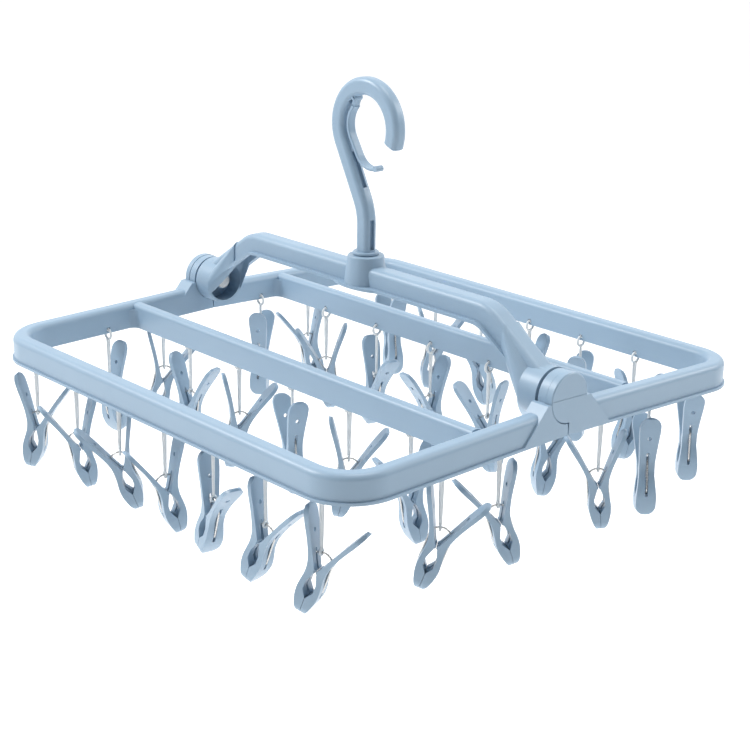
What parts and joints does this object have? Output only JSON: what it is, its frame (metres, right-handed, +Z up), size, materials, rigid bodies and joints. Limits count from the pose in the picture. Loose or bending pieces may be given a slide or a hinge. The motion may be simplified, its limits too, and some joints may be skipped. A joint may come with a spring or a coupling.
{
  "type": "clip drying hanger",
  "caption": "Folding clip drying hanger with swivel hook, arched yoke, two frame halves and 32 spring pegs on links.",
  "frame": {"origin": "middle of the hook's inner top, where it bears on the rail", "axes": "+Z up; X along the hinge line and the yoke, +X the side the hook's mouth faces; Y across the two halves, front half at -Y"},
  "size_m": [0.4636, 0.4566, 0.3264],
  "materials": {
    "blue_plastic": "satin",
    "white_plastic": "satin",
    "steel": "satin"
  },
  "bodies": {
    "hook": {"hook": "blue_plastic", "swivel_washer": "steel", "swivel_screw": "steel"},
    "wind_latch": {"wind_latch": "blue_plastic"},
    "yoke": {"yoke": "blue_plastic", "hinge_pin_left": "steel", "hinge_pin_right": "steel"},
    "half_front": {"frame_half_front": "blue_plastic"},
    "half_rear": {"frame_half_rear": "blue_plastic"},
    "peg_front_outer_1": {"peg_front_outer_1": "blue_plastic"},
    "peg_front_outer_2": {"peg_front_outer_2": "blue_plastic"},
    "peg_front_outer_3": {"peg_front_outer_3": "blue_plastic"},
    "peg_front_outer_4": {"peg_front_outer_4_link": "white_plastic", "peg_front_outer_4_spring": "steel", "peg_front_outer_4_fixed_leg": "blue_plastic"},
    "peg_front_outer_4_jaw": {"peg_front_outer_4_moving_leg": "blue_plastic"},
    "peg_front_outer_5": {"peg_front_outer_5_link": "white_plastic", "peg_front_outer_5_spring": "steel", "peg_front_outer_5_fixed_leg": "blue_plastic"},
    "peg_front_outer_5_jaw": {"peg_front_outer_5_moving_leg": "blue_plastic"},
    "peg_front_outer_6": {"peg_front_outer_6_link": "white_plastic", "peg_front_outer_6_spring": "steel", "peg_front_outer_6_fixed_leg": "blue_plastic"},
    "peg_front_outer_6_jaw": {"peg_front_outer_6_moving_leg": "blue_plastic"},
    "peg_front_outer_7": {"peg_front_outer_7_link": "white_plastic", "peg_front_outer_7_spring": "steel", "peg_front_outer_7_fixed_leg": "blue_plastic"},
    "peg_front_outer_7_jaw": {"peg_front_outer_7_moving_leg": "blue_plastic"},
    "peg_front_cross_1": {"peg_front_cross_1": "blue_plastic"},
    "peg_front_cross_2": {"peg_front_cross_2": "blue_plastic"},
    "peg_front_cross_3": {"peg_front_cross_3": "blue_plastic"},
    "peg_front_cross_4": {"peg_front_cross_4": "blue_plastic"},
    "peg_front_cross_5": {"peg_front_cross_5": "blue_plastic"},
    "peg_front_side_left_1": {"peg_front_side_left_1": "blue_plastic"},
    "peg_front_side_right_1": {"peg_front_side_right_1": "blue_plastic"},
    "peg_front_side_left_2": {"peg_front_side_left_2": "blue_plastic"},
    "peg_front_side_right_2": {"peg_front_side_right_2": "blue_plastic"},
    "peg_rear_outer_1": {"peg_rear_outer_1": "blue_plastic"},
    "peg_rear_outer_2": {"peg_rear_outer_2": "blue_plastic"},
    "peg_rear_outer_3": {"peg_rear_outer_3": "blue_plastic"},
    "peg_rear_outer_4": {"peg_rear_outer_4": "blue_plastic"},
    "peg_rear_outer_5": {"peg_rear_outer_5": "blue_plastic"},
    "peg_rear_outer_6": {"peg_rear_outer_6": "blue_plastic"},
    "peg_rear_outer_7": {"peg_rear_outer_7": "blue_plastic"},
    "peg_rear_cross_1": {"peg_rear_cross_1": "blue_plastic"},
    "peg_rear_cross_2": {"peg_rear_cross_2": "blue_plastic"},
    "peg_rear_cross_3": {"peg_rear_cross_3": "blue_plastic"},
    "peg_rear_cross_4": {"peg_rear_cross_4": "blue_plastic"},
    "peg_rear_cross_5": {"peg_rear_cross_5": "blue_plastic"},
    "peg_rear_side_left_1": {"peg_rear_side_left_1_link": "white_plastic", "peg_rear_side_left_1_spring": "steel", "peg_rear_side_left_1_fixed_leg": "blue_plastic"},
    "peg_rear_side_left_1_jaw": {"peg_rear_side_left_1_moving_leg": "blue_plastic"},
    "peg_rear_side_right_1": {"peg_rear_side_right_1": "blue_plastic"},
    "peg_rear_side_left_2": {"peg_rear_side_left_2_link": "white_plastic", "peg_rear_side_left_2_spring": "steel", "peg_rear_side_left_2_fixed_leg": "blue_plastic"},
    "peg_rear_side_left_2_jaw": {"peg_rear_side_left_2_moving_leg": "blue_plastic"},
    "peg_rear_side_right_2": {"peg_rear_side_right_2": "blue_plastic"}
  },
  "joints": [
    {"name": "hook_swivel", "type": "hinge", "parent": "hook", "child": "yoke", "pos_m": [0, 0, -0.131], "axis": [0, 0, 1], "continuous": true},
    {"name": "latch_swing", "type": "hinge", "parent": "hook", "child": "wind_latch", "pos_m": [-0.01298, 0, -0.00372], "axis": [0, 1, 0], "range_deg": [0, 4], "stiffness_Nm_per_rad": 0.01, "springref_deg": -11.46},
    {"name": "fold_front", "type": "hinge", "parent": "yoke", "child": "half_front", "pos_m": [0, 0, -0.188], "axis": [-1, 0, 0], "range_deg": [0, 90]},
    {"name": "fold_rear", "type": "hinge", "parent": "yoke", "child": "half_rear", "pos_m": [0, 0, -0.188], "axis": [1, 0, 0], "range_deg": [0, 90]},
    {"name": "swing_front_outer_1", "type": "hinge", "parent": "half_front", "child": "peg_front_outer_1", "pos_m": [-0.18, -0.19729, -0.21777], "axis": [1, 0, 0], "range_deg": [-18, 18]},
    {"name": "swing_front_outer_2", "type": "hinge", "parent": "half_front", "child": "peg_front_outer_2", "pos_m": [-0.12, -0.19729, -0.21777], "axis": [1, 0, 0], "range_deg": [-18, 18]},
    {"name": "swing_front_outer_3", "type": "hinge", "parent": "half_front", "child": "peg_front_outer_3", "pos_m": [-0.06, -0.19729, -0.21777], "axis": [1, 0, 0], "range_deg": [-18, 18]},
    {"name": "swing_front_outer_4", "type": "hinge", "parent": "half_front", "child": "peg_front_outer_4", "pos_m": [0, -0.19729, -0.21777], "axis": [1, 0, 0], "range_deg": [-18, 18]},
    {"name": "open_front_outer_4", "type": "hinge", "parent": "peg_front_outer_4", "child": "peg_front_outer_4_jaw", "pos_m": [0.00036, -0.19596, -0.27731], "axis": [-0.9659, 0.2588, 0], "range_deg": [0, 16], "stiffness_Nm_per_rad": 0.05, "springref_deg": -17.19},
    {"name": "swing_front_outer_5", "type": "hinge", "parent": "half_front", "child": "peg_front_outer_5", "pos_m": [0.06, -0.19729, -0.21777], "axis": [1, 0, 0], "range_deg": [-18, 18]},
    {"name": "open_front_outer_5", "type": "hinge", "parent": "peg_front_outer_5", "child": "peg_front_outer_5_jaw", "pos_m": [0.05808, -0.19695, -0.27713], "axis": [-0.1736, -0.9848, 0], "range_deg": [0, 16], "stiffness_Nm_per_rad": 0.05, "springref_deg": -17.19},
    {"name": "swing_front_outer_6", "type": "hinge", "parent": "half_front", "child": "peg_front_outer_6", "pos_m": [0.12, -0.19729, -0.21777], "axis": [1, 0, 0], "range_deg": [-18, 18]},
    {"name": "open_front_outer_6", "type": "hinge", "parent": "peg_front_outer_6", "child": "peg_front_outer_6_jaw", "pos_m": [0.11808, -0.19763, -0.27713], "axis": [0.1736, -0.9848, 0], "range_deg": [0, 16], "stiffness_Nm_per_rad": 0.05, "springref_deg": -17.19},
    {"name": "swing_front_outer_7", "type": "hinge", "parent": "half_front", "child": "peg_front_outer_7", "pos_m": [0.18, -0.19729, -0.21777], "axis": [1, 0, 0], "range_deg": [-18, 18]},
    {"name": "open_front_outer_7", "type": "hinge", "parent": "peg_front_outer_7", "child": "peg_front_outer_7_jaw", "pos_m": [0.17823, -0.19811, -0.27713], "axis": [0.4226, -0.9063, 0], "range_deg": [0, 16], "stiffness_Nm_per_rad": 0.05, "springref_deg": -17.19},
    {"name": "swing_front_cross_1", "type": "hinge", "parent": "half_front", "child": "peg_front_cross_1", "pos_m": [-0.136, -0.07533, -0.21458], "axis": [1, 0, 0], "range_deg": [-18, 18]},
    {"name": "swing_front_cross_2", "type": "hinge", "parent": "half_front", "child": "peg_front_cross_2", "pos_m": [-0.068, -0.07533, -0.21458], "axis": [1, 0, 0], "range_deg": [-18, 18]},
    {"name": "swing_front_cross_3", "type": "hinge", "parent": "half_front", "child": "peg_front_cross_3", "pos_m": [0, -0.07533, -0.21458], "axis": [1, 0, 0], "range_deg": [-18, 18]},
    {"name": "swing_front_cross_4", "type": "hinge", "parent": "half_front", "child": "peg_front_cross_4", "pos_m": [0.068, -0.07533, -0.21458], "axis": [1, 0, 0], "range_deg": [-18, 18]},
    {"name": "swing_front_cross_5", "type": "hinge", "parent": "half_front", "child": "peg_front_cross_5", "pos_m": [0.136, -0.07533, -0.21458], "axis": [1, 0, 0], "range_deg": [-18, 18]},
    {"name": "swing_front_side_left_1", "type": "hinge", "parent": "half_front", "child": "peg_front_side_left_1", "pos_m": [-0.205, -0.05434, -0.21403], "axis": [0, 1, 0], "range_deg": [-18, 18]},
    {"name": "swing_front_side_right_1", "type": "hinge", "parent": "half_front", "child": "peg_front_side_right_1", "pos_m": [0.205, -0.05434, -0.21403], "axis": [0, 1, 0], "range_deg": [-18, 18]},
    {"name": "swing_front_side_left_2", "type": "hinge", "parent": "half_front", "child": "peg_front_side_left_2", "pos_m": [-0.205, -0.11132, -0.21552], "axis": [0, 1, 0], "range_deg": [-18, 18]},
    {"name": "swing_front_side_right_2", "type": "hinge", "parent": "half_front", "child": "peg_front_side_right_2", "pos_m": [0.205, -0.11132, -0.21552], "axis": [0, 1, 0], "range_deg": [-18, 18]},
    {"name": "swing_rear_outer_1", "type": "hinge", "parent": "half_rear", "child": "peg_rear_outer_1", "pos_m": [0.18, 0.19729, -0.21777], "axis": [1, 0, 0], "range_deg": [-18, 18]},
    {"name": "swing_rear_outer_2", "type": "hinge", "parent": "half_rear", "child": "peg_rear_outer_2", "pos_m": [0.12, 0.19729, -0.21777], "axis": [1, 0, 0], "range_deg": [-18, 18]},
    {"name": "swing_rear_outer_3", "type": "hinge", "parent": "half_rear", "child": "peg_rear_outer_3", "pos_m": [0.06, 0.19729, -0.21777], "axis": [1, 0, 0], "range_deg": [-18, 18]},
    {"name": "swing_rear_outer_4", "type": "hinge", "parent": "half_rear", "child": "peg_rear_outer_4", "pos_m": [0, 0.19729, -0.21777], "axis": [1, 0, 0], "range_deg": [-18, 18]},
    {"name": "swing_rear_outer_5", "type": "hinge", "parent": "half_rear", "child": "peg_rear_outer_5", "pos_m": [-0.06, 0.19729, -0.21777], "axis": [1, 0, 0], "range_deg": [-18, 18]},
    {"name": "swing_rear_outer_6", "type": "hinge", "parent": "half_rear", "child": "peg_rear_outer_6", "pos_m": [-0.12, 0.19729, -0.21777], "axis": [1, 0, 0], "range_deg": [-18, 18]},
    {"name": "swing_rear_outer_7", "type": "hinge", "parent": "half_rear", "child": "peg_rear_outer_7", "pos_m": [-0.18, 0.19729, -0.21777], "axis": [1, 0, 0], "range_deg": [-18, 18]},
    {"name": "swing_rear_cross_1", "type": "hinge", "parent": "half_rear", "child": "peg_rear_cross_1", "pos_m": [0.136, 0.07533, -0.21458], "axis": [1, 0, 0], "range_deg": [-18, 18]},
    {"name": "swing_rear_cross_2", "type": "hinge", "parent": "half_rear", "child": "peg_rear_cross_2", "pos_m": [0.068, 0.07533, -0.21458], "axis": [1, 0, 0], "range_deg": [-18, 18]},
    {"name": "swing_rear_cross_3", "type": "hinge", "parent": "half_rear", "child": "peg_rear_cross_3", "pos_m": [0, 0.07533, -0.21458], "axis": [1, 0, 0], "range_deg": [-18, 18]},
    {"name": "swing_rear_cross_4", "type": "hinge", "parent": "half_rear", "child": "peg_rear_cross_4", "pos_m": [-0.068, 0.07533, -0.21458], "axis": [1, 0, 0], "range_deg": [-18, 18]},
    {"name": "swing_rear_cross_5", "type": "hinge", "parent": "half_rear", "child": "peg_rear_cross_5", "pos_m": [-0.136, 0.07533, -0.21458], "axis": [1, 0, 0], "range_deg": [-18, 18]},
    {"name": "swing_rear_side_left_1", "type": "hinge", "parent": "half_rear", "child": "peg_rear_side_left_1", "pos_m": [0.205, 0.05434, -0.21403], "axis": [0, 1, 0], "range_deg": [-18, 18]},
    {"name": "open_rear_side_left_1", "type": "hinge", "parent": "peg_rear_side_left_1", "child": "peg_rear_side_left_1_jaw", "pos_m": [0.2054, 0.05478, -0.2737], "axis": [-0.7431, 0.6691, 0], "range_deg": [0, 16], "stiffness_Nm_per_rad": 0.05, "springref_deg": -17.19},
    {"name": "swing_rear_side_right_1", "type": "hinge", "parent": "half_rear", "child": "peg_rear_side_right_1", "pos_m": [-0.205, 0.05434, -0.21403], "axis": [0, 1, 0], "range_deg": [-18, 18]},
    {"name": "swing_rear_side_left_2", "type": "hinge", "parent": "half_rear", "child": "peg_rear_side_left_2", "pos_m": [0.205, 0.11132, -0.21552], "axis": [0, 1, 0], "range_deg": [-18, 18]},
    {"name": "open_rear_side_left_2", "type": "hinge", "parent": "peg_rear_side_left_2", "child": "peg_rear_side_left_2_jaw", "pos_m": [0.20603, 0.11039, -0.27505], "axis": [0.6691, 0.7431, 0], "range_deg": [0, 16], "stiffness_Nm_per_rad": 0.05, "springref_deg": -17.19},
    {"name": "swing_rear_side_right_2", "type": "hinge", "parent": "half_rear", "child": "peg_rear_side_right_2", "pos_m": [-0.205, 0.11132, -0.21552], "axis": [0, 1, 0], "range_deg": [-18, 18]}
  ]
}
